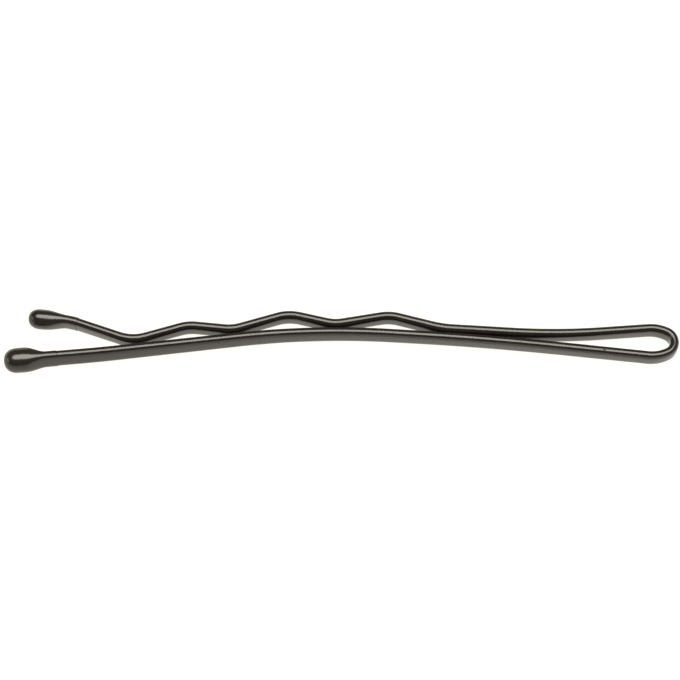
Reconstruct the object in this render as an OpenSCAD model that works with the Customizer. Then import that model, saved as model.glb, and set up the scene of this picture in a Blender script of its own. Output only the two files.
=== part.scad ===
// Bobby pin: one flat spring-steel wire, enamelled, bent back on itself at a teardrop eye.
// A plain bowed leg and a crimped leg lie against each other, each ending in a dipped bead.
// The pin lies on its side: X runs from the tips to the eye, Y is across the legs, in the
// plane of the bends, and Z is along the width of the wire. The origin is under the middle
// of the box round the pin, on the surface that the pin lies on.

/* [Overall] */
// Length over everything, from the straight leg's bead to the end of the eye
pin_length = 51; // [49:0.5:66]

/* [Wire] */
// Width of the bare flat wire, along Z
steel_width = 1.36; // [1.1:0.02:1.7]
// Thickness of the bare flat wire, in the plane of the bends
steel_thickness = 0.58; // [0.45:0.01:0.72]
// Thickness of the enamel on the wire
enamel = 0.05; // [0.03:0.01:0.08]

/* [Eye] */
// Radius of the bend at the end of the eye, to the middle of the wire
end_radius = 0.8; // [0.65:0.05:1.1]
// Radius of the two shoulders beside the end bend, to the middle of the wire
shoulder_radius = 2.75; // [2:0.05:3.5]
// Angle between the wire and the pin's length where a shoulder runs into the end bend
shoulder_angle = 33.4; // [26:0.2:40]
// Slope at which the straight leg leaves the eye, in degrees
straight_side_slope = 6.35; // [5:0.05:8]
// Slope at which the crimped leg leaves the eye, in degrees
crimped_side_slope = 4.2; // [3:0.1:5.5]
// Distance from the end of the eye to the lines where the legs flex
flex_from_eye_end = 5.7; // [5:0.1:6.5]

/* [Straight leg] */
// Distance from the end of the eye to the leg's rear bend
rear_bend_from_eye_end = 14.5; // [13:0.5:17]
// Radius of the rear bend
rear_bend_radius = 225; // [150:5:280]
// Slope of the leg between its rear bend and its bow, in degrees
middle_slope = 3.67; // [2.5:0.1:4.5]
// Distance from the end of the eye to the bow in the middle of the leg
bow_from_eye_end = 27.55; // [25:0.5:30]
// Radius of the bow
bow_radius = 65; // [40:1:75]
// Slope of the leg from its bow towards its tip, in degrees
front_slope = 6.6; // [5:0.1:7.5]
// Distance from the tip of the leg to its slight front bend
front_bend_from_tip = 7.3; // [6:0.1:9]
// Radius of the front bend
front_bend_radius = 100; // [60:5:120]
// Slope of the leg's last stretch, in degrees
tip_slope = 5.1; // [4:0.1:6.5]

/* [Crimped leg] */
// Distance from the end of the eye to the heel, where the leg turns in to the straight leg
heel_from_eye_end = 9.2; // [8.5:0.1:10.5]
// Radius of the heel
heel_radius = 50; // [30:1:60]
// Distance from the end of the eye to the foot, the valley nearest to the eye
foot_from_eye_end = 17.9; // [17:0.1:20]
// Radius of the foot
foot_radius = 8; // [5:0.5:10]
// Spacing of the valleys, from the foot towards the tip
valley_pitch = [8.15, 7.7, 7.6]; // [7:0.05:9]
// Distance of each crest from the valley on its tip side
crest_from_valley = 4.2; // [3.5:0.1:5]
// Height of each crest's corner over the middle of the straight leg, from the foot outwards
crest_rise = [1.5, 1.58, 1.42]; // [1.2:0.01:1.9]
// Radius of the crests and valleys
crimp_radius = 3.2; // [2.2:0.1:4]
// Clearance between the two legs at each valley, from the foot outwards
leg_clearance = [0.03, 0.03, 0.06, 0.1]; // [0.02:0.01:0.2]
// Distance from the last valley to the corner of the leg's upturned tip
tip_corner_from_valley = 4.75; // [4:0.05:5.5]
// Height of that corner over the middle of the straight leg
tip_corner_rise = 2.82; // [2.3:0.01:3.3]
// Radius of that corner
tip_corner_radius = 6; // [4:0.5:8]
// Slope of the leg's last stretch, in degrees
crimped_tip_slope = 5.4; // [3:0.1:8]
// How much shorter the crimped leg is than the straight leg
crimped_leg_short_by = 1.7; // [1:0.05:3]

/* [Beads] */
// Greatest thickness of the straight leg's bead, in the plane of the bends
straight_bead_thickness = 1.8; // [1.4:0.05:2.3]
// Greatest width of the straight leg's bead, along Z
straight_bead_width = 2; // [1.9:0.05:2.5]
// Length of the straight leg's bead, with its film
straight_bead_length = 4; // [3.2:0.1:5]
// Distance from the end of the straight leg's bead to its thickest place
straight_bead_nose = 1.1; // [0.9:0.05:1.6]
// Greatest thickness of the crimped leg's bead, in the plane of the bends
crimped_bead_thickness = 1.46; // [1.1:0.02:1.8]
// Greatest width of the crimped leg's bead, along Z
crimped_bead_width = 1.76; // [1.6:0.02:2]
// Length of the crimped leg's bead, with its film
crimped_bead_length = 3.9; // [3.2:0.1:4.8]
// Distance from the end of the crimped leg's bead to its thickest place
crimped_bead_nose = 0.95; // [0.75:0.05:1.4]
// Length of the thin film that a bead leaves on the enamel behind its swelling
bead_film = 0.8; // [0.3:0.1:1.2]
// Thickness of a bead's film
bead_lip = 0.03; // [0.02:0.01:0.06]
// Depth of bead material over the end of the wire
bead_over_wire = 0.6; // [0.4:0.05:0.9]

/* [Hidden] */
$fa = 2;
$fs = 0.06;

steel_colour = [0.62, 0.62, 0.63];
enamel_colour = [0.13, 0.11, 0.1];
bead_colour = [0.17, 0.15, 0.13];

// How much slimmer than a bend, on each side, the run that ends inside it is drawn
slimmer = 0.005;
// How far a run reaches into the bend that takes its end
lap = 0.02;
// How far the rolled edge of the wire stands proud of its flats
edge_proud = 0.005;
// How far a cutting tool runs past the end of what it cuts
overrun = 1;
// Sides of half a bead's outline, and its steps along the tail and along the nose
bead_sides = 13;
tail_steps = 12;
nose_steps = 9;
// How bluntly a bead's nose is rounded: 2 is an ellipse
nose_bluntness = 2.3;

thickness = steel_thickness + 2 * enamel;
half_flat = (steel_width - steel_thickness) / 2 - edge_proud;
wire_plane = straight_bead_width / 2;

// Frame of the eye: its end bend is centred on 0, 0 until everything is moved by middle
eye_end_x = end_radius + thickness / 2;
tip_end_x = eye_end_x - pin_length;
flex_x = eye_end_x - flex_from_eye_end;

function along(angle) = [cos(angle), sin(angle)];
function left_of(angle) = [-sin(angle), cos(angle)];
function heading(p, q) = atan2(q.y - p.y, q.x - p.x);
function half_turn_wrapped(angle) = angle - 360 * floor((angle + 180) / 360);
function flat_point(corner) = [corner.x, corner.y];

// A path is a list of corners [x, y, radius]; its first and last corners are its ends.
// How much of the stretch from corner i to corner j the bend at i may use
function bend_share(path, i, j) =
    norm(flat_point(path[j]) - flat_point(path[i])) * (j == 0 || j == len(path) - 1 ? 0.98 : 0.49);

// Bend at corner i: [start point, end point, centre, radius, heading at its start, turn]
function bend(path, i) =
    let (here = flat_point(path[i]))
    let (way_in = heading(path[i - 1], here))
    let (turn = half_turn_wrapped(heading(here, path[i + 1]) - way_in))
    let (room = min(bend_share(path, i, i - 1), bend_share(path, i, i + 1)))
    let (reach = min(path[i].z * tan(abs(turn) / 2), room))
    let (radius = reach / tan(abs(turn) / 2))
    let (start = here - reach * along(way_in))
    [start, here + reach * along(way_in + turn),
        start + sign(turn) * radius * left_of(way_in), radius, way_in, turn];

function bends(path) = [for (i = [1 : len(path) - 2]) bend(path, i)];

// Height of a path that runs towards -X, at a given x
function path_y(path, x) =
    let (at_x = [for (b = bends(path)) if (x <= b[0].x && x >= b[1].x) b])
    len(at_x) == 0
        ? lookup(x, [for (corner = path) flat_point(corner)])
        : at_x[0][2].y + sign(at_x[0][5]) * sqrt(pow(at_x[0][3], 2) - pow(x - at_x[0][2].x, 2));

function path_slope(path, x) = atan((path_y(path, x + 0.05) - path_y(path, x - 0.05)) / 0.1);

// Eye: a shoulder's centre, and the point where the wire runs straight out of it.
// Side is -1 for the straight leg's side and 1 for the crimped leg's side.
function side_slope(side) = side < 0 ? straight_side_slope : crimped_side_slope;
function shoulder_centre(side) = (end_radius - shoulder_radius) * along(side * (90 - shoulder_angle));
function shoulder_foot(side) =
    shoulder_centre(side) + shoulder_radius * along(side * (90 + side_slope(side)));
function eye_side_point(side, x) =
    [x, shoulder_foot(side).y + side * tan(side_slope(side)) * (x - shoulder_foot(side).x)];

// Straight leg
rear_bend = concat(eye_side_point(-1, eye_end_x - rear_bend_from_eye_end), rear_bend_radius);
bow_x = eye_end_x - bow_from_eye_end;
bow = [bow_x, rear_bend.y + tan(middle_slope) * (rear_bend.x - bow_x), bow_radius];
front_bend_x = tip_end_x + front_bend_from_tip;
front_bend = [front_bend_x, bow.y - tan(front_slope) * (bow.x - front_bend_x), front_bend_radius];
straight_nose = [tip_end_x, front_bend.y - tan(tip_slope) * (front_bend.x - tip_end_x)];
straight_path = [
    concat(eye_side_point(-1, flex_x), 0),
    rear_bend,
    bow,
    front_bend,
    concat(straight_nose + bead_over_wire * along(tip_slope), 0),
];

// Crimped leg. Valley 0 is the foot; crest i lies between valleys i and i + 1.
valley_count = len(valley_pitch) + 1;
function valley_x(i) = eye_end_x - foot_from_eye_end - (i == 0 ? 0 : summed_pitch(i - 1));
function summed_pitch(i) = valley_pitch[i] + (i == 0 ? 0 : summed_pitch(i - 1));
function crest_x(i) = valley_x(i + 1) + crest_from_valley;
function over_straight_leg(x, rise) = [x, path_y(straight_path, x) + rise];

tip_corner_x = valley_x(valley_count - 1) - tip_corner_from_valley;
tip_corner = concat(over_straight_leg(tip_corner_x, tip_corner_rise), tip_corner_radius);
crimped_nose_x = tip_end_x + crimped_leg_short_by;
crimped_nose = [crimped_nose_x, tip_corner.y + tan(crimped_tip_slope) * (tip_corner.x - crimped_nose_x)];

// Path of the crimped leg with its valley corners at the given heights over the straight leg
function crimped_path_at(rises) = concat(
    [concat(eye_side_point(1, flex_x), 0)],
    [concat(eye_side_point(1, eye_end_x - heel_from_eye_end), heel_radius)],
    [for (i = [0 : valley_count - 1], part = [0, 1])
        if (part == 0 || i < valley_count - 1)
            concat(part == 0 ? over_straight_leg(valley_x(i), rises[i])
                : over_straight_leg(crest_x(i), crest_rise[i]), i + part == 0 ? foot_radius : crimp_radius)],
    [tip_corner, concat(crimped_nose + bead_over_wire * along(-crimped_tip_slope), 0)]
);

// Height over the straight leg that a valley's rounded bottom has, less its corner's height
function rounding_lift(path, i) =
    let (b = bend(path, 2 + 2 * i), middle = b[4] + b[5] / 2 - 180)
    b[3] * (cos(middle - path_slope(straight_path, valley_x(i))) / cos(b[5] / 2) - 1);

// Valley corners, moved until each rounded valley clears the straight leg by its leg_clearance
function settled_rises(rises, passes) =
    let (path = crimped_path_at(rises))
    passes == 0 ? rises : settled_rises([for (i = [0 : valley_count - 1])
        (thickness + leg_clearance[i] - rounding_lift(path, i))
            / cos(path_slope(straight_path, valley_x(i)))], passes - 1);
crimped_path = crimped_path_at(settled_rises([for (i = [1 : valley_count]) thickness], 8));

// Flat wire with rolled edges. Half_thick is half its thickness; X is across the wire.
module section(half_thick) {
    square([2 * half_thick, 2 * half_flat], center = true);
    for (side = [-1, 1])
        translate([0, side * half_flat])
            circle(half_thick + edge_proud);
}

// Straight run of wire from p to q, reaching further by more_before and more_after
module run(p, q, half_thick, more_before, more_after) {
    angle = heading(p, q);
    start = p - more_before * along(angle);
    translate([start.x, start.y, wire_plane])
        rotate([90, 0, angle + 90])
            linear_extrude(norm(q - p) + more_before + more_after)
                section(half_thick - 2 * slimmer);
}

// Bent wire round a centre, from one angle to a greater one
module arc(centre, radius, from, to, half_thick) {
    translate([centre.x, centre.y, wire_plane])
        rotate([0, 0, from])
            rotate_extrude(angle = to - from)
                translate([radius, 0])
                    section(half_thick);
}

// Wire of a leg, from the run before its bend number first, with its two ends lengthened
module leg_wire(path, half_thick, longer_at_eye = 0, longer_at_tip = 0, first = 1) {
    last = len(path) - 2;
    for (i = [first : last]) {
        b = bend(path, i);
        from = b[4] - 90 * sign(b[5]);
        arc(b[2], b[3], min(from, from + b[5]), max(from, from + b[5]), half_thick - slimmer);
    }
    for (i = [first - 1 : last])
        run(i == 0 ? flat_point(path[0]) : bend(path, i)[1],
            i == last ? flat_point(path[last + 1]) : bend(path, i + 1)[0],
            half_thick, i == 0 ? longer_at_eye : lap, i == last ? longer_at_tip : lap);
}

// Wire of the eye, between the two flex lines
module eye_wire(half_thick, longer = 0) {
    reach = lap / shoulder_radius * 180 / PI;
    arc([0, 0], end_radius, shoulder_angle - 90, 90 - shoulder_angle, half_thick);
    arc(shoulder_centre(-1), shoulder_radius, -90 - straight_side_slope,
        shoulder_angle - 90 + reach, half_thick - slimmer);
    arc(shoulder_centre(1), shoulder_radius, 90 - shoulder_angle - reach,
        90 + crimped_side_slope, half_thick - slimmer);
    for (side = [-1, 1])
        run(eye_side_point(side, flex_x), shoulder_foot(side), half_thick, longer, lap);
}

// Places along a bead: [point, heading towards the tip], s back from the bead's nose
function bead_place(path, nose, s) =
    let (b = bend(path, len(path) - 2), way_out = b[4] + b[5], straight = norm(nose - b[1]))
    let (angle = way_out - sign(b[5]) * max(s - straight, 0) / b[3] * 180 / PI)
    [s <= straight ? nose - s * along(way_out) : b[2] - sign(b[5]) * b[3] * left_of(angle), angle];

// Share of its full swelling that a bead has, s back from its nose
function nose_swell(s, nose_length) =
    pow(1 - pow(1 - s / nose_length, nose_bluntness), 1 / nose_bluntness);
function tail_swell(s, size) =
    let (q = min((s - size[3]) / (size[2] - bead_film - size[3]), 1))
    1 - q * q * (3 - 2 * q);

// Outline of a bead across its axis: two half circles joined by flats, as the wire has
function bead_ring(place, half_thick, half_wide) = [for (k = [0 : 2 * bead_sides - 1])
    let (angle = (k + 0.5) * 180 / bead_sides, half_straight = max(half_wide - half_thick, 0.01))
    let (across = half_thick * cos(angle) * left_of(place[1]))
    [place[0].x + across.x, place[0].y + across.y,
        wire_plane + (k < bead_sides ? 1 : -1) * half_straight + half_thick * sin(angle)]];

// Rings of a bead from its nose to its lip. Size is [thickness, width, length, nose length].
function bead_rings(path, nose, size) = concat(
    [for (i = [1 : nose_steps])
        let (s = size[3] * (1 - cos(90 * i / nose_steps)), swell = nose_swell(s, size[3]))
        bead_ring(bead_place(path, nose, s), swell * size[0] / 2, swell * size[1] / 2)],
    [for (i = [1 : tail_steps])
        let (s = size[3] + i / tail_steps * (size[2] - size[3]), swell = tail_swell(s, size))
        let (lip_thick = thickness / 2 + bead_lip, lip_wide = steel_width / 2 + enamel + bead_lip)
        bead_ring(bead_place(path, nose, s), lip_thick + swell * (size[0] / 2 - lip_thick),
            lip_wide + swell * (size[1] / 2 - lip_wide))]);

// Dipped bead: a closed skin over its rings, with the enamelled wire's end taken out of it
module bead(path, nose, size) {
    rings = bead_rings(path, nose, size);
    sides = 2 * bead_sides;
    last = len(rings) - 1;
    skin = [for (j = [0 : last - 1], k = [0 : sides - 1], half = [0, 1])
        let (a = 1 + j * sides + k, b = 1 + j * sides + (k + 1) % sides)
        half == 0 ? [a, b, b + sides] : [a, b + sides, a + sides]];
    nose_fan = [for (k = [0 : sides - 1]) [0, 1 + (k + 1) % sides, 1 + k]];
    lip = [for (k = [0 : sides - 1]) 1 + last * sides + k];
    difference() {
        polyhedron(concat([[nose.x, nose.y, wire_plane]], [for (ring = rings) each ring]),
            concat(nose_fan, skin, [lip]));
        leg_wire(path, thickness / 2, first = len(path) - 2);
    }
}

straight_bead = [straight_bead_thickness, straight_bead_width, straight_bead_length, straight_bead_nose];
crimped_bead = [crimped_bead_thickness, crimped_bead_width, crimped_bead_length, crimped_bead_nose];

// Middle of the box round the whole pin
function heights(rings) = [for (ring = rings, p = ring) p.y];
lowest_y = min(concat(heights(bead_rings(straight_path, straight_nose, straight_bead)),
    [shoulder_centre(-1).y - shoulder_radius - thickness / 2]));
highest_y = max(concat(heights(bead_rings(crimped_path, crimped_nose, crimped_bead)),
    [for (i = [0 : valley_count - 2]) bend(crimped_path, 3 + 2 * i)[2].y + crimp_radius + thickness / 2]));
middle = [eye_end_x - pin_length / 2, (lowest_y + highest_y) / 2];

module steel_piece() {
    color(steel_colour) translate([-middle.x, -middle.y]) children();
}

// Enamel skin: the coated wire, less the steel wire that fills it
module enamel_piece() {
    color(enamel_colour) translate([-middle.x, -middle.y]) difference() {
        children(0);
        children(1);
    }
}

module straight_leg_wire() {
    steel_piece() leg_wire(straight_path, steel_thickness / 2);
}

module straight_leg_enamel() {
    enamel_piece() {
        leg_wire(straight_path, thickness / 2);
        leg_wire(straight_path, steel_thickness / 2, overrun, overrun);
    }
}

module straight_leg_tip() {
    color(bead_colour) translate([-middle.x, -middle.y])
        bead(straight_path, straight_nose, straight_bead);
}

module spring_loop_wire() {
    steel_piece() eye_wire(steel_thickness / 2);
}

module spring_loop_enamel() {
    enamel_piece() {
        eye_wire(thickness / 2);
        eye_wire(steel_thickness / 2, overrun);
    }
}

module crimped_leg_wire() {
    steel_piece() leg_wire(crimped_path, steel_thickness / 2);
}

module crimped_leg_enamel() {
    enamel_piece() {
        leg_wire(crimped_path, thickness / 2);
        leg_wire(crimped_path, steel_thickness / 2, overrun, overrun);
    }
}

module crimped_leg_tip() {
    color(bead_colour) translate([-middle.x, -middle.y])
        bead(crimped_path, crimped_nose, crimped_bead);
}

straight_leg_wire();
straight_leg_enamel();
straight_leg_tip();
spring_loop_wire();
spring_loop_enamel();
crimped_leg_wire();
crimped_leg_enamel();
crimped_leg_tip();
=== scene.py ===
# Bobby pin lying on its side on a pale floor: flat spring wire under brown-black enamel, bent
# back at a teardrop eye, with a bowed straight leg, a crimped leg and a dipped bead on each end.
import math

import bpy
import numpy as np
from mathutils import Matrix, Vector


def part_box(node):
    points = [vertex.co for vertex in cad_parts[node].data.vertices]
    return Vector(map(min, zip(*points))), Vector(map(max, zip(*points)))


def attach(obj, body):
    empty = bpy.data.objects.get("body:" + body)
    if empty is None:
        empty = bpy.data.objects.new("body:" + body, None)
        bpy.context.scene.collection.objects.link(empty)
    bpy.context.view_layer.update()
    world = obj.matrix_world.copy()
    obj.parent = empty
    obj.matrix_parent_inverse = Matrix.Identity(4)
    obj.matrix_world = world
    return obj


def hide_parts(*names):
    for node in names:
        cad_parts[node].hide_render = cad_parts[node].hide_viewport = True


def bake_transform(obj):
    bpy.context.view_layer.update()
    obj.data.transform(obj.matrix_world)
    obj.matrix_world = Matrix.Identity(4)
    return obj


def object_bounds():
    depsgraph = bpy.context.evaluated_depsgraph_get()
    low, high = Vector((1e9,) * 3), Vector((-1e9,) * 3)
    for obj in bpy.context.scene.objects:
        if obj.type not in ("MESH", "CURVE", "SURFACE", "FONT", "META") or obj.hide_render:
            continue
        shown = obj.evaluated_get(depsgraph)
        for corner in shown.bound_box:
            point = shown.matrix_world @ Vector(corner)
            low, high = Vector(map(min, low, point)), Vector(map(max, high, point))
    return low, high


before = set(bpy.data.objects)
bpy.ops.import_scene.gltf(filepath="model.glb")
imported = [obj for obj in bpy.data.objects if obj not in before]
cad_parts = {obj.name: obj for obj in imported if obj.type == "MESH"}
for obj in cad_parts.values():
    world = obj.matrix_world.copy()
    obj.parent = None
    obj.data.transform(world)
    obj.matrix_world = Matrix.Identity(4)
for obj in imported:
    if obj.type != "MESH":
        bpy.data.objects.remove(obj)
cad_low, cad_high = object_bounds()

# Lengths are in millimetres and angles in degrees until a mesh is made; MM turns them to metres.
MM = 0.001

# Wire
STEEL_WIDTH = 1.36
STEEL_THICKNESS = 0.58
ENAMEL = 0.05
COATED_HALF_THICK = STEEL_THICKNESS / 2 + ENAMEL
COATED_HALF_WIDE = STEEL_WIDTH / 2 + ENAMEL
# How far the middle of the enamel's wide faces stands proud, and how far the steel keeps off it
EDGE_PROUD = 0.005
STEEL_INSET = 0.001
# How flat the wire's wide faces are: 2 is an ellipse. At this value its edges are half round
WIRE_FLATNESS = 4.3
# How much wider the crowned section is drawn on each side, to cover the outline of a flat one
CROWN_COVER = 0.03

# Eye
END_RADIUS = 0.92
SHOULDER_RADIUS = 2.75
SHOULDER_ANGLE = 27.2
STRAIGHT_SIDE_SLOPE = 6.35
CRIMPED_SIDE_SLOPE = 4.2
FLEX_FROM_EYE_END = 5.7
# How far the legs' enamel and steel reach past a flex line towards the eye, to the seam where the
# eye's pieces start
FLEX_REACH = 3.0

# Straight leg: distances from the end of the eye, unless they are said to be from the tip
REAR_BEND_FROM_EYE_END = 14.5
REAR_BEND_RADIUS = 225.0
MIDDLE_SLOPE = 3.67
BOW_FROM_EYE_END = 27.55
BOW_RADIUS = 65.0
FRONT_SLOPE = 6.6
FRONT_BEND_FROM_TIP = 7.3
FRONT_BEND_RADIUS = 100.0
TIP_SLOPE = 5.1
# Roll of the leg about its own line at its tip, and the power by which it grows from the eye
TIP_ROLL = 14.0
ROLL_GROWTH = 1.5

# Crimped leg
HEEL_FROM_EYE_END = 9.2
HEEL_RADIUS = 50.0
FOOT_FROM_EYE_END = 17.9
FOOT_RADIUS = 8.0
VALLEY_PITCH = (8.15, 7.7, 7.6)
CREST_FROM_VALLEY = 4.2
CREST_RISE = (1.5, 1.58, 1.42)
CRIMP_RADIUS = 3.2
LEG_CLEARANCE = (0.03, 0.03, 0.06, 0.1)
SETTLING_ROUNDS = 8
TIP_CORNER_FROM_VALLEY = 4.75
TIP_CORNER_RISE = 2.82
TIP_CORNER_RADIUS = 6.0
CRIMPED_TIP_SLOPE = 5.4
CRIMPED_LEG_SHORT_BY = 1.7

# Beads: half sizes, length, and distance from the end to the thickest place. Behind that place
# a bead keeps its full size over its plateau, and it ends in a film
STRAIGHT_BEAD = {"thick": 0.92, "wide": 1.0, "length": 4.0, "nose": 1.1, "plateau": 0.4}
CRIMPED_BEAD = {"thick": 0.74, "wide": 0.9, "length": 3.8, "nose": 0.95, "plateau": 0.25}
BEAD_FILM = 0.8
BEAD_LIP = 0.03
BEAD_OVER_WIRE = 0.6
NOSE_BLUNTNESS = 2.35
BEAD_FLATNESS = 2.1

# Unevenness of the coats: height and range of wavelengths
ENAMEL_RIPPLE = {"seed": 5, "height": 0.002, "longest": 2.4, "shortest": 0.35}
BEAD_RIPPLE = {"seed": 9, "height": 0.0025, "longest": 3.0, "shortest": 0.8}
RIPPLE_WAVES = 40

# Mesh density: points round a section, the spacing of sections along the wire, and the sections
# of a bead's nose, back, lip and inside. The nose starts a small share of its quarter turn in
AROUND = 72
SECTION_STEP = 0.12
NOSE_SECTIONS = 26
BACK_SECTIONS = 44
LIP_SECTIONS = 6
INSIDE_SECTIONS = 40
NOSE_START = 0.06
# Points on a route when a height on it is looked up, and what keeps a division by nothing finite
ROUTE_SAMPLES = 4000
TINY = 1e-12
# Largest share of a stretch that a bend takes, where it has the stretch alone and where it shares
SHARE_ALONE = 0.98
SHARE_OF_TWO = 0.49

# Finishes: linear colours, roughness, and the scale and depth of the fine peel
STOVED_ENAMEL = {"dark": (0.011, 0.01, 0.008), "warm": (0.0165, 0.0138, 0.01),
                 "roughness": 0.18, "peel_scale": 1.6, "peel_depth": 0.002}
DIPPED_RESIN = {"dark": (0.013, 0.0125, 0.01), "warm": (0.018, 0.0155, 0.0115),
                "roughness": 0.2, "peel_scale": 0.9, "peel_depth": 0.003}
COAT_IOR = 1.5
# How far a coat's roughness falls and rises from place to place
GLOSSIER_BY = 0.04
DULLER_BY = 0.05
STEEL_DARK = (0.38, 0.38, 0.39)
STEEL_BRIGHT = (0.6, 0.6, 0.61)
STEEL_ROUGHNESS = (0.25, 0.42)

# Scuffs in the enamel: one on the straight leg's flex line, and two placed by how far back they
# lie from the end of the eye and how far across from the eye's middle
SCUFFED_GREY = (0.014, 0.0125, 0.011)
SCUFF_ROUGHNESS = 0.75
FLEX_SCUFF = {"height": 1.72, "radius": 0.17}
OTHER_SCUFFS = ({"back": 0.35, "across": -0.25, "height": 1.68, "radius": 0.12},
                {"back": 15.25, "across": 0.63, "height": 1.18, "radius": 0.13})

# Studio, with its lengths in metres and its power in watts: the colour of the light, the table
# under the pin, the room's dark and how high the glow of its horizon reaches, and two softboxes
WARM_WHITE = (1.0, 0.96, 0.885)
TABLE_GLOW = 1.04
TABLE_COLOUR = (0.12, 0.115, 0.105)
FLOOR_HALF = 3.0
ROOM_DARK = (0.02, 0.02, 0.02)
HORIZON_GLOW = 0.2
OVERHEAD_SOFTBOX = {"elevation": 88, "azimuth": 180, "distance": 0.6, "size": (0.72, 0.5),
                    "power": 7.6}
SIDE_SOFTBOX = {"elevation": 17, "azimuth": -82, "distance": 0.5, "size": (0.32, 0.2),
                "power": 0.34}

# Camera: it stands 23 degrees off the vertical and 190 mm away, and its image is square. The
# nearest and farthest that it sees are in metres
CAMERA_ELEVATION = 67.0
CAMERA_DISTANCE = 190.0
SENSOR_WIDTH = 36.0
IMAGE_WIDTH = 680
PIXEL = 51 / 673.0
AIM = (-0.125, 0.08, 1.0)
NEAREST, FARTHEST = 0.01, 20.0


def unit(angle):
    """Unit vector in the plane of the bends at an angle in radians; arrays give one row each."""
    return np.stack([np.cos(angle), np.sin(angle)], axis=-1)


def place_eye():
    """Centre of the eye's end bend, from the CAD eye's own box: in X from its far end, and in Y
    from its lowest place, which is the bottom of the straight leg's shoulder."""
    low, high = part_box("spring_loop_enamel")
    shoulder_drop = (SHOULDER_RADIUS - END_RADIUS) * math.cos(math.radians(SHOULDER_ANGLE))
    lowest = shoulder_drop - SHOULDER_RADIUS - COATED_HALF_THICK
    return np.array([high[0] / MM - END_RADIUS - COATED_HALF_THICK, low[1] / MM - lowest])


EYE = place_eye()
EYE_END = EYE[0] + END_RADIUS + COATED_HALF_THICK
TIP_END = cad_low[0] / MM
WIRE_PLANE = (cad_low[2] + cad_high[2]) / 2 / MM
FLEX_X = EYE_END - FLEX_FROM_EYE_END
SEAM_X = FLEX_X + FLEX_REACH


def shoulder_foot(side):
    """Point where the wire runs straight out of a shoulder, and the slope that it runs at; side
    is -1 for the straight leg's shoulder and 1 for the crimped leg's."""
    slope = math.radians(STRAIGHT_SIDE_SLOPE if side < 0 else CRIMPED_SIDE_SLOPE)
    centre = EYE + (END_RADIUS - SHOULDER_RADIUS) * unit(side * math.radians(90 - SHOULDER_ANGLE))
    return centre + SHOULDER_RADIUS * unit(side * (math.pi / 2 + slope)), slope


def eye_side_point(side, x):
    """Point at x on the straight run between a shoulder and its leg."""
    foot, slope = shoulder_foot(side)
    return np.array([x, foot[1] + side * math.tan(slope) * (x - foot[0])])


def bends_of(corners):
    """Bends of a path of corners (x, y, radius): for each inner corner its start point, heading,
    turn and radius. A bend reaches its radius times the tangent of half its turn from the corner,
    and at most its share of the stretches beside it."""
    found = []
    last = len(corners) - 1
    for i in range(1, last):
        here, before, after = (np.array(corners[k][:2]) for k in (i, i - 1, i + 1))
        way_in = math.atan2(*(here - before)[::-1])
        turn = math.atan2(*(after - here)[::-1]) - way_in
        turn = (turn + math.pi) % (2 * math.pi) - math.pi
        room_before = np.linalg.norm(here - before) * (SHARE_ALONE if i == 1 else SHARE_OF_TWO)
        room_after = np.linalg.norm(after - here) * (SHARE_ALONE if i == last - 1 else SHARE_OF_TWO)
        reach = min(corners[i][2] * math.tan(abs(turn) / 2), room_before, room_after)
        radius = reach / math.tan(abs(turn) / 2)
        found.append((here - reach * unit(way_in), way_in, turn, radius))
    return found


def stretches_of(corners):
    """Runs and bends of a path in order, as (start heading, [(length, turn), ...])."""
    place = np.array(corners[0][:2])
    heading = math.atan2(*(np.array(corners[1][:2]) - place)[::-1])
    stretches = []
    for start, way_in, turn, radius in bends_of(corners):
        stretches.append((np.linalg.norm(start - place), 0.0))
        stretches.append((radius * abs(turn), turn))
        reach = radius * math.tan(abs(turn) / 2)
        place = start + reach * unit(way_in) + reach * unit(way_in + turn)
    stretches.append((np.linalg.norm(np.array(corners[-1][:2]) - place), 0.0))
    return heading, stretches


def walk(route, s):
    """Points and headings at distances s along a route (start, heading, stretches). From the start
    of its stretch a point lies one chord away: the arc's length times the sine of half the turn
    made so far over that half turn, in the direction of the heading plus half that turn."""
    start, heading, stretches = route
    length, turn = np.array(stretches).T
    heads = heading + np.concatenate([[0.0], np.cumsum(turn)])
    chords = (length * np.sinc(turn / (2 * np.pi)))[:, None] * unit(heads[:-1] + turn / 2)
    places = np.asarray(start) + np.concatenate([[[0.0, 0.0]], np.cumsum(chords, axis=0)])
    ends = np.cumsum(length)
    k = np.minimum(np.searchsorted(ends, s), len(length) - 1)
    gone = s - (ends[k] - length[k])
    turned = turn[k] * gone / np.maximum(length[k], TINY)
    chord = (gone * np.sinc(turned / (2 * np.pi)))[:, None] * unit(heads[k] + turned / 2)
    return places[k] + chord, heads[k] + turned


def route_along(corners):
    """Route (start, heading, stretches) of a path of corners."""
    heading, stretches = stretches_of(corners)
    return np.array(corners[0][:2]), heading, stretches


def route_length(route):
    """Length of all the stretches of a route."""
    return sum(length for length, _ in route[2])


def height_on(route, x):
    """Height and slope of a route that runs towards -X, at x."""
    s = np.linspace(0, route_length(route), ROUTE_SAMPLES)
    points, headings = walk(route, s)
    return (np.interp(x, points[::-1, 0], points[::-1, 1]),
            math.tan(np.interp(x, points[::-1, 0], headings[::-1])))


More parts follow.
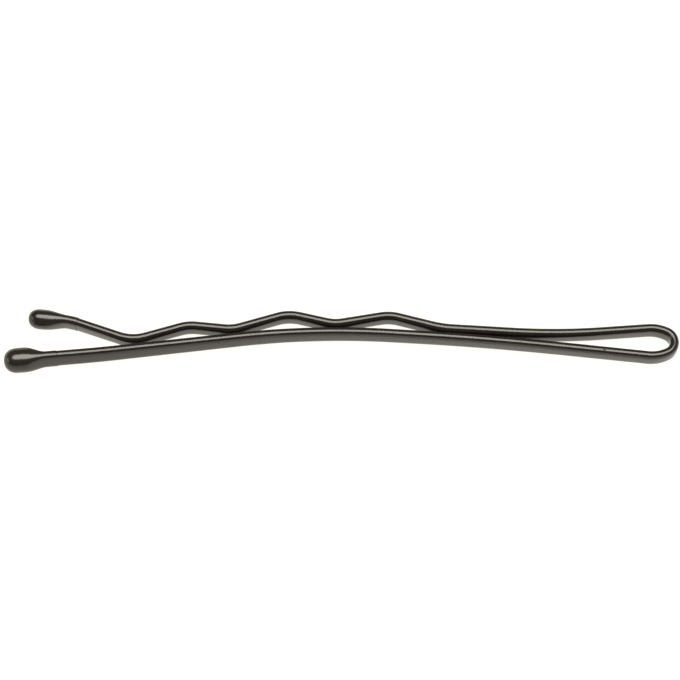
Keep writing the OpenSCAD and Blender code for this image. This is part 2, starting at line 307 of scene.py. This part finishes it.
def straight_corners():
    """Corners of the straight leg from the eye's seam to the end of its wire."""
    rear = eye_side_point(-1, EYE_END - REAR_BEND_FROM_EYE_END)
    bow_x = EYE_END - BOW_FROM_EYE_END
    bow_y = rear[1] + math.tan(math.radians(MIDDLE_SLOPE)) * (rear[0] - bow_x)
    front_x = TIP_END + FRONT_BEND_FROM_TIP
    front_y = bow_y - math.tan(math.radians(FRONT_SLOPE)) * (bow_x - front_x)
    nose = np.array([TIP_END, front_y - math.tan(math.radians(TIP_SLOPE)) * (front_x - TIP_END)])
    end = nose + BEAD_OVER_WIRE * unit(math.radians(TIP_SLOPE))
    return [(*eye_side_point(-1, SEAM_X), 0), (*rear, REAR_BEND_RADIUS), (bow_x, bow_y, BOW_RADIUS),
            (front_x, front_y, FRONT_BEND_RADIUS), (*end, 0)]


def crimped_corners(straight):
    """Corners of the crimped leg. The valleys' corners are moved, a few times over, until each
    rounded valley clears the straight leg by its clearance."""
    valleys = EYE_END - FOOT_FROM_EYE_END - np.concatenate([[0.0], np.cumsum(VALLEY_PITCH)])
    crests = valleys[1:] + CREST_FROM_VALLEY
    ground = [height_on(straight, x) for x in valleys]
    tip_x = valleys[-1] - TIP_CORNER_FROM_VALLEY
    tip = (tip_x, height_on(straight, tip_x)[0] + TIP_CORNER_RISE, TIP_CORNER_RADIUS)
    nose_x = TIP_END + CRIMPED_LEG_SHORT_BY
    tip_slope = math.radians(CRIMPED_TIP_SLOPE)
    nose = np.array([nose_x, tip[1] + math.tan(tip_slope) * (tip_x - nose_x)])
    crest_corners = [(x, height_on(straight, x)[0] + rise, CRIMP_RADIUS)
                     for x, rise in zip(crests, CREST_RISE)]
    heel = (*eye_side_point(1, EYE_END - HEEL_FROM_EYE_END), HEEL_RADIUS)
    rises = [2 * COATED_HALF_THICK] * len(valleys)
    for _ in range(SETTLING_ROUNDS):
        corners = [(*eye_side_point(1, SEAM_X), 0), heel]
        for i, (x, rise) in enumerate(zip(valleys, rises)):
            corners.append((x, ground[i][0] + rise, CRIMP_RADIUS if i else FOOT_RADIUS))
            corners += crest_corners[i:i + 1]
        corners += [tip, (*(nose + BEAD_OVER_WIRE * unit(-tip_slope)), 0)]
        for i, (_, way_in, turn, radius) in enumerate(bends_of(corners)[1:-1:2]):
            off_level = way_in + turn / 2 - math.pi - math.atan(ground[i][1])
            lift = radius * (math.cos(off_level) / math.cos(turn / 2) - 1)
            rises[i] = ((2 * COATED_HALF_THICK + LEG_CLEARANCE[i] - lift)
                        / math.cos(math.atan(ground[i][1])))
    return corners


def eye_route():
    """Route of the eye from the straight leg's seam, round the end bend, to the other seam."""
    start, end = eye_side_point(-1, SEAM_X), eye_side_point(1, SEAM_X)
    (foot_a, slope_a), (foot_b, slope_b) = shoulder_foot(-1), shoulder_foot(1)
    shoulder = math.radians(SHOULDER_ANGLE)
    turn_a, turn_end, turn_b = shoulder + slope_a, math.pi - 2 * shoulder, shoulder + slope_b
    return start, -slope_a, [
        (np.linalg.norm(foot_a - start), 0.0), (SHOULDER_RADIUS * turn_a, turn_a),
        (END_RADIUS * turn_end, turn_end), (SHOULDER_RADIUS * turn_b, turn_b),
        (np.linalg.norm(end - foot_b), 0.0)]


STRAIGHT_ROUTE = route_along(straight_corners())
CRIMPED_ROUTE = route_along(crimped_corners(STRAIGHT_ROUTE))
EYE_ROUTE = eye_route()


def no_roll(x):
    """Roll of a wire that isn't turned about its own line."""
    return np.zeros_like(x)


def straight_leg_roll(x):
    """Roll of the straight leg at x, in radians: nothing at the seam, and from there towards the
    tip it grows as a power of the distance."""
    gone = np.clip((SEAM_X - x) / (SEAM_X - TIP_END), 0, 1)
    return math.radians(TIP_ROLL) * gone ** ROLL_GROWTH


def section(half_thick, half_wide, flatness):
    """Closed curve round the wire where (thickness / half thickness) squared plus (width / half
    width) to the power of the flatness is 1. Sizes may be columns, one row a section."""
    angle = (np.arange(AROUND) + 0.5) * 2 * np.pi / AROUND
    c, s = np.cos(angle), np.sin(angle)
    return half_thick * c, half_wide * np.sign(s) * np.abs(s) ** (2 / flatness)


def one_per_section(value, count):
    """A size as a column with one row a section, from one number or from a number a section."""
    return np.broadcast_to(np.asarray(value, float), (count,))[:, None]


def rings(route, s, half_thick, half_wide, flatness=WIRE_FLATNESS, roll=no_roll,
          turned_about=1.0):
    """Sections carried along a route: the middle of the wire at s, plus the section's thickness
    across the wire in the plane of the bends and its width along Z, both rolled about the wire.
    A rolled wire turns about its upper edge, so its middle moves out by the sine of the roll;
    turned_about 0 keeps the middle where it is. The result has one row of points a section."""
    middle, heading = walk(route, s)
    sizes = (one_per_section(size, len(s)) for size in (half_thick, half_wide, flatness))
    thick, wide = section(*sizes)
    turned = roll(middle[:, 0])
    across = np.concatenate([unit(heading + np.pi / 2), np.zeros((len(s), 1))], axis=1)
    up = np.array([[0.0, 0.0, 1.0]])
    thick_way = across * np.cos(turned)[:, None] + up * np.sin(turned)[:, None]
    wide_way = up * np.cos(turned)[:, None] - across * np.sin(turned)[:, None]
    moved_out = turned_about * (COATED_HALF_WIDE - COATED_HALF_THICK) * np.sin(turned)
    axis = np.concatenate([middle, np.full((len(s), 1), WIRE_PLANE)], axis=1)
    axis = axis + across * moved_out[:, None]
    return (axis[:, None, :] + thick[:, :, None] * thick_way[:, None, :]
            + wide[:, :, None] * wide_way[:, None, :])


def ripple(points, seed, longest, shortest):
    """Smooth unevenness between about -1 and 1: a sum of plane waves in random directions, whose
    wavelengths run evenly in their logarithm from longest to shortest."""
    chance = np.random.default_rng(seed)
    direction = chance.normal(size=(RIPPLE_WAVES, 3))
    direction /= np.linalg.norm(direction, axis=1)[:, None]
    number = 2 * np.pi / np.geomspace(longest, shortest, RIPPLE_WAVES)
    phase = chance.uniform(0, 2 * np.pi, RIPPLE_WAVES)
    flat = points.reshape(-1, 3) @ (direction * number[:, None]).T + phase
    total = np.sin(flat).sum(axis=1) / math.sqrt(RIPPLE_WAVES / 2)
    return (total / 2).reshape(points.shape[:-1])


def outward(grid):
    """Unit normals of a grid of sections, from the cross product of its two directions, turned
    away from the middle of each section."""
    along = np.gradient(grid, axis=0)
    round_it = np.roll(grid, -1, axis=1) - np.roll(grid, 1, axis=1)
    normal = np.cross(round_it, along)
    normal /= np.maximum(np.linalg.norm(normal, axis=2), TINY)[:, :, None]
    out = grid - grid.mean(axis=1, keepdims=True)
    return normal * np.sign((normal * out).sum(axis=2, keepdims=True) + TINY)


def rippled(grid, coat):
    """Grid of sections with each point moved along its normal by the coat's unevenness there."""
    wave = ripple(grid, coat["seed"], coat["longest"], coat["shortest"])
    return grid + outward(grid) * (coat["height"] * wave)[:, :, None]


def skin(name, grid, joined, sharp):
    """Mesh piece from a grid of closed sections, in millimetres. Joined is "ring" where the last
    section meets the first, as in a tube with a wall, and "poles" where each end section closes on
    its middle. Sections in sharp have a crisp edge."""
    count = len(grid)
    points = grid.reshape(-1, 3)
    i = np.arange(count if joined == "ring" else count - 1)[:, None]
    j = np.arange(AROUND)[None, :]
    next_i, next_j = (i + 1) % count, (j + 1) % AROUND
    corners = (i * AROUND + j, i * AROUND + next_j, next_i * AROUND + next_j, next_i * AROUND + j)
    quads = np.stack(np.broadcast_arrays(*corners), axis=-1).reshape(-1, 4)
    ends = np.zeros((0, 3), int)
    if joined == "poles":
        points = np.concatenate([points, grid[[0, -1]].mean(axis=1)])
        first = np.full(AROUND, len(points) - 2)
        last = np.full(AROUND, len(points) - 1)
        j = np.arange(AROUND)
        after = (j + 1) % AROUND
        base = (count - 1) * AROUND
        ends = np.concatenate([np.stack([after, j, first], axis=1),
                               np.stack([base + j, base + after, last], axis=1)])
    triangles = np.concatenate([quads[:, [0, 1, 2]], quads[:, [0, 2, 3]], ends])
    a, b, c = (points[triangles[:, k]] for k in range(3))
    volume_sign = (a * np.cross(b, c)).sum()
    if volume_sign < 0:
        quads, ends = quads[:, ::-1], ends[:, ::-1]
    mesh = bpy.data.meshes.new(name)
    mesh.from_pydata((points * MM).tolist(), [], quads.tolist() + ends.tolist())
    mesh.polygons.foreach_set("use_smooth", np.ones(len(mesh.polygons), bool))
    pair = np.zeros(len(mesh.edges) * 2, int)
    mesh.edges.foreach_get("vertices", pair)
    row = pair.reshape(-1, 2) // AROUND
    crisp = (row[:, 0] == row[:, 1]) & np.isin(row[:, 0], np.array(sharp))
    mesh.attributes.new("sharp_edge", "BOOLEAN", "EDGE").data.foreach_set("value", crisp)
    piece = bpy.data.objects.new(name, mesh)
    bpy.context.scene.collection.objects.link(piece)
    return piece


def stations(route):
    """Distances of the sections along a route, about the section step apart."""
    end = route_length(route)
    return np.linspace(0.0, end, int(end / SECTION_STEP) + 2)


def enamel_skin(name, route, roll=no_roll):
    """Enamel film as a tube with a wall: the outer surface from one end to the other, and back
    along the steel. The film's surface is a little uneven, as stoved enamel is."""
    s = stations(route)
    outer = rings(route, s, COATED_HALF_THICK + EDGE_PROUD, COATED_HALF_WIDE + CROWN_COVER,
                  roll=roll)
    inner = rings(route, s, STEEL_THICKNESS / 2, STEEL_WIDTH / 2, roll=roll)
    grid = np.concatenate([rippled(outer, ENAMEL_RIPPLE), inner[::-1]])
    return skin(name, grid, "ring", sharp=(0, len(s) - 1, len(s), 2 * len(s) - 1))


def steel_core(name, route, roll=no_roll):
    """Solid flat wire that fills the enamel."""
    s = stations(route)
    core = rings(route, s, STEEL_THICKNESS / 2 - STEEL_INSET, STEEL_WIDTH / 2 - STEEL_INSET,
                 roll=roll)
    return skin(name, core, "poles", sharp=(0, len(s) - 1))


def bead(name, route, size, roll):
    """Dipped bead over the end of a leg. Its outside swells from a blunt nose to its thickest
    place, falls to a thin film on the enamel and ends in a rounded edge; its inside is the
    enamelled wire's end. From the nose half sizes grow as (1 - (1 - s / nose) ** b) ** (1 / b),
    and behind the plateau the swelling falls as a smoothstep."""
    wire_end = route_length(route)
    tip = wire_end + BEAD_OVER_WIRE
    nose, length, plateau = size["nose"], size["length"], size["plateau"]
    turn = np.linspace(NOSE_START, 1, NOSE_SECTIONS) * np.pi / 2
    behind_nose = np.linspace(nose, length, BACK_SECTIONS)[1:]
    back = np.concatenate([nose * (1 - np.cos(turn)), behind_nose])
    short = 1 - np.minimum(back / nose, 1)
    swell = (1 - short ** NOSE_BLUNTNESS) ** (1 / NOSE_BLUNTNESS)
    q = np.clip((back - nose - plateau) / (length - BEAD_FILM - nose - plateau), 0, 1)
    fade = 1 - q * q * (3 - 2 * q)
    coat_wide = COATED_HALF_WIDE + CROWN_COVER
    film_thick = COATED_HALF_THICK + BEAD_LIP
    film_wide = coat_wide + BEAD_LIP
    thick = swell * (film_thick + fade * (size["thick"] - film_thick))
    wide = swell * (film_wide + fade * (size["wide"] - film_wide))
    flatness = BEAD_FLATNESS + (1 - fade) * (WIRE_FLATNESS - BEAD_FLATNESS)
    outer = rings(route, tip - back, thick, wide, flatness, roll, turned_about=1 - fade)
    turn = np.linspace(0, np.pi / 2, LIP_SECTIONS)[1:]
    lip_out = BEAD_LIP * np.cos(turn)
    lip = rings(route, tip - length - BEAD_LIP * np.sin(turn), COATED_HALF_THICK + lip_out,
                coat_wide + lip_out, roll=roll)
    inside = rings(route, np.linspace(tip - length, wire_end, INSIDE_SECTIONS),
                   COATED_HALF_THICK, coat_wide, roll=roll)
    grid = np.concatenate([rippled(outer, BEAD_RIPPLE), lip, inside])
    return skin(name, grid, "poles", sharp=(len(grid) - 1,))


def put_in(tree, socket, value):
    """Give a socket a value, or link another node's output to it."""
    if isinstance(value, bpy.types.NodeSocket):
        tree.links.new(value, socket)
    else:
        socket.default_value = value


def add_node(tree, kind, **inputs):
    """Shader node of a kind, with its sockets' values by name."""
    node = tree.nodes.new(kind)
    for key, value in inputs.items():
        put_in(tree, node.inputs[key.replace("_", " ")], value)
    return node


def in_millimetres(tree):
    """Object coordinates in millimetres."""
    place = add_node(tree, "ShaderNodeTexCoord").outputs["Object"]
    return add_node(tree, "ShaderNodeMapping", Vector=place, Scale=(1 / MM,) * 3).outputs["Vector"]


def noise(tree, place, scale, detail=2.0, roughness=0.5):
    """Smooth noise between 0 and 1; scale is in waves a millimetre."""
    return add_node(tree, "ShaderNodeTexNoise", Vector=place, Scale=scale, Detail=detail,
                    Roughness=roughness).outputs["Fac"]


def spread(tree, value, low, high, to_low=0.0, to_high=1.0):
    """Value from low..high mapped to to_low..to_high, and held at the ends."""
    return add_node(tree, "ShaderNodeMapRange", Value=value, From_Min=low, From_Max=high,
                    To_Min=to_low, To_Max=to_high).outputs["Result"]


def mix_colour(tree, share, a, b):
    """Colour a where share is 0, b where it is 1. The node has a set of sockets for each type of
    value, all of the same names, so those for colours are taken by their places."""
    node = tree.nodes.new("ShaderNodeMix")
    node.data_type = "RGBA"
    factor, colour_a, colour_b, result = 0, 6, 7, 2
    put_in(tree, node.inputs[factor], share)
    put_in(tree, node.inputs[colour_a], a)
    put_in(tree, node.inputs[colour_b], b)
    return node.outputs[result]


def greatest(tree, a, b):
    """The greater of two values at each place."""
    node = tree.nodes.new("ShaderNodeMath")
    node.operation = "MAXIMUM"
    put_in(tree, node.inputs[0], a)
    put_in(tree, node.inputs[1], b)
    return node.outputs["Value"]


def scuffs(tree, place, spots):
    """Dullness of a scuffed coat: 1 in the middle of each scuff and 0 beyond its radius."""
    dull = None
    for *middle, radius in spots:
        away = tree.nodes.new("ShaderNodeVectorMath")
        away.operation = "DISTANCE"
        put_in(tree, away.inputs[0], place)
        put_in(tree, away.inputs[1], middle)
        share = spread(tree, away.outputs["Value"], radius / 2, radius, to_low=1.0, to_high=0.0)
        dull = share if dull is None else greatest(tree, dull, share)
    return dull


def gloss_paint(name, coat, spots=()):
    """Dark gloss coat: near black with a warm cast in places, gently uneven gloss, the fine peel
    of a stoved or dipped coat, and a dull grey scuff at each spot."""
    material = bpy.data.materials.new(name)
    material.use_nodes = True
    tree = material.node_tree
    paint = tree.nodes["Principled BSDF"]
    place = in_millimetres(tree)
    cast = spread(tree, noise(tree, place, scale=0.5, detail=3.0), low=0.35, high=0.7)
    colour = mix_colour(tree, cast, (*coat["dark"], 1), (*coat["warm"], 1))
    glossiest = coat["roughness"] - GLOSSIER_BY
    dullest = coat["roughness"] + DULLER_BY
    handling = noise(tree, place, scale=3.0, detail=3.0, roughness=0.6)
    gloss = spread(tree, handling, 0.3, 0.7, to_low=glossiest, to_high=dullest)
    if spots:
        dull = scuffs(tree, place, spots)
        colour = mix_colour(tree, dull, colour, (*SCUFFED_GREY, 1))
        gloss = greatest(tree, gloss, spread(tree, dull, 0.0, 1.0, to_high=SCUFF_ROUGHNESS))
    peel = noise(tree, place, coat["peel_scale"], detail=2.0, roughness=0.45)
    bump = add_node(tree, "ShaderNodeBump", Height=peel, Strength=1.0,
                    Distance=coat["peel_depth"] * MM)
    put_in(tree, paint.inputs["Base Color"], colour)
    put_in(tree, paint.inputs["Roughness"], gloss)
    put_in(tree, paint.inputs["Normal"], bump.outputs["Normal"])
    put_in(tree, paint.inputs["IOR"], COAT_IOR)
    return material


def bare_steel(name):
    """Cold-rolled spring steel: grey metal with fine lines along the wire."""
    material = bpy.data.materials.new(name)
    material.use_nodes = True
    tree = material.node_tree
    steel = tree.nodes["Principled BSDF"]
    place = in_millimetres(tree)
    drawn = add_node(tree, "ShaderNodeMapping", Vector=place, Scale=(0.4, 14.0, 14.0))
    lines = noise(tree, drawn.outputs["Vector"], scale=2.0, detail=3.0, roughness=0.6)
    tone = mix_colour(tree, spread(tree, lines, 0.3, 0.7), (*STEEL_DARK, 1), (*STEEL_BRIGHT, 1))
    put_in(tree, steel.inputs["Metallic"], 1.0)
    put_in(tree, steel.inputs["Base Color"], tone)
    put_in(tree, steel.inputs["Roughness"], spread(tree, lines, 0.3, 0.7, *STEEL_ROUGHNESS))
    return material


def light_table():
    """White opal sheet that is lit from below, so a small object on it throws next to no shadow."""
    material = bpy.data.materials.new("light_table")
    material.use_nodes = True
    opal = material.node_tree.nodes["Principled BSDF"]
    opal.inputs["Base Color"].default_value = (*TABLE_COLOUR, 1)
    opal.inputs["Roughness"].default_value = 1.0
    opal.inputs["Specular IOR Level"].default_value = 0.0
    opal.inputs["Emission Color"].default_value = (*WARM_WHITE, 1)
    opal.inputs["Emission Strength"].default_value = TABLE_GLOW
    return material


def scuff_spots():
    """Place and radius of each scuff, as (x, y, z, radius)."""
    flex_y = eye_side_point(-1, FLEX_X)[1]
    spots = [(FLEX_X, flex_y, FLEX_SCUFF["height"], FLEX_SCUFF["radius"])]
    for scuff in OTHER_SCUFFS:
        x, y = EYE_END - scuff["back"], EYE[1] + scuff["across"]
        spots.append((x, y, scuff["height"], scuff["radius"]))
    return spots


ENAMEL_MATERIAL = gloss_paint("stoved_enamel", STOVED_ENAMEL, scuff_spots())
BEAD_MATERIAL = gloss_paint("dipped_resin", DIPPED_RESIN)
STEEL_MATERIAL = bare_steel("spring_steel")


def finish_piece(piece, material, node):
    """Give a piece its material, and hide the CAD node that it replaces."""
    piece.data.materials.append(material)
    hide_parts(node)


def make_leg(leg, route, roll, bead_size):
    """Enamel, steel and bead of one leg. The enamel and the steel reach across the flex line to the
    seam on the eye's side; only the bead is attached to the leg's body.
    """
    enamel = enamel_skin(leg + "_enamel_coat", route, roll)
    finish_piece(enamel, ENAMEL_MATERIAL, leg + "_enamel")
    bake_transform(enamel)
    core = steel_core(leg + "_steel_wire", route, roll)
    finish_piece(core, STEEL_MATERIAL, leg + "_wire")
    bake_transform(core)
    tip = bead(leg + "_dipped_bead", route, bead_size, roll)
    finish_piece(tip, BEAD_MATERIAL, leg + "_tip")
    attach(tip, leg)


def make_eye():
    """Enamel and steel of the eye."""
    enamel = enamel_skin("spring_loop_enamel_coat", EYE_ROUTE)
    finish_piece(enamel, ENAMEL_MATERIAL, "spring_loop_enamel")
    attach(enamel, "spring_loop")
    core = steel_core("spring_loop_steel_wire", EYE_ROUTE)
    finish_piece(core, STEEL_MATERIAL, "spring_loop_wire")
    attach(core, "spring_loop")


def lay_floor():
    """Large plain floor under the pin."""
    near, far = -FLOOR_HALF, FLOOR_HALF
    corners = [(near, near, 0), (far, near, 0), (far, far, 0), (near, far, 0)]
    mesh = bpy.data.meshes.new("floor")
    mesh.from_pydata(corners, [], [(0, 1, 2, 3)])
    mesh.materials.append(light_table())
    floor = bpy.data.objects.new("floor", mesh)
    bpy.context.scene.collection.objects.link(floor)


def add_softbox(name, box):
    """Area light that looks at the pin. Azimuth 0 is behind the camera, as seen from above."""
    light = bpy.data.lights.new(name, "AREA")
    light.shape = "ELLIPSE"
    light.color = WARM_WHITE
    light.size, light.size_y = box["size"]
    light.energy = box["power"]
    lamp = bpy.data.objects.new(name, light)
    e, a = math.radians(box["elevation"]), math.radians(box["azimuth"])
    back = np.array([math.sin(a) * math.cos(e), -math.cos(a) * math.cos(e), math.sin(e)])
    lamp.location = back * box["distance"]
    lamp.rotation_mode = "QUATERNION"
    lamp.rotation_quaternion = Vector(-back).to_track_quat("-Z", "Y")
    bpy.context.scene.collection.objects.link(lamp)


def light_studio():
    """Soft warm light from overhead, a small weak one beside the tips, and a dark room with a pale
    glow just over its horizon."""
    add_softbox("overhead_softbox", OVERHEAD_SOFTBOX)
    add_softbox("side_softbox", SIDE_SOFTBOX)
    world = bpy.data.worlds.new("room")
    bpy.context.scene.world = world
    world.use_nodes = True
    tree = world.node_tree
    way = add_node(tree, "ShaderNodeTexCoord").outputs["Generated"]
    height = add_node(tree, "ShaderNodeSeparateXYZ", Vector=way).outputs["Z"]
    shade = spread(tree, height, 0.0, HORIZON_GLOW)
    tone = mix_colour(tree, shade, (*WARM_WHITE, 1), (*ROOM_DARK, 1))
    put_in(tree, tree.nodes["Background"].inputs["Color"], tone)
    bpy.context.scene.view_settings.view_transform = "Standard"


def set_camera():
    """Camera at the photograph's angle, whose lens makes a millimetre as wide as it is there."""
    lens = bpy.data.cameras.new("camera")
    lens.sensor_width = SENSOR_WIDTH
    lens.lens = SENSOR_WIDTH * CAMERA_DISTANCE / (IMAGE_WIDTH * PIXEL)
    lens.clip_start, lens.clip_end = NEAREST, FARTHEST
    camera = bpy.data.objects.new("camera", lens)
    e = math.radians(CAMERA_ELEVATION)
    back = np.array([0.0, -math.cos(e), math.sin(e)])
    camera.location = (np.array(AIM) + back * CAMERA_DISTANCE) * MM
    camera.rotation_euler = (math.radians(90 - CAMERA_ELEVATION), 0, 0)
    bpy.context.scene.collection.objects.link(camera)
    bpy.context.scene.camera = camera


make_leg("straight_leg", STRAIGHT_ROUTE, straight_leg_roll, STRAIGHT_BEAD)
make_leg("crimped_leg", CRIMPED_ROUTE, no_roll, CRIMPED_BEAD)
make_eye()
lay_floor()
light_studio()
set_camera()
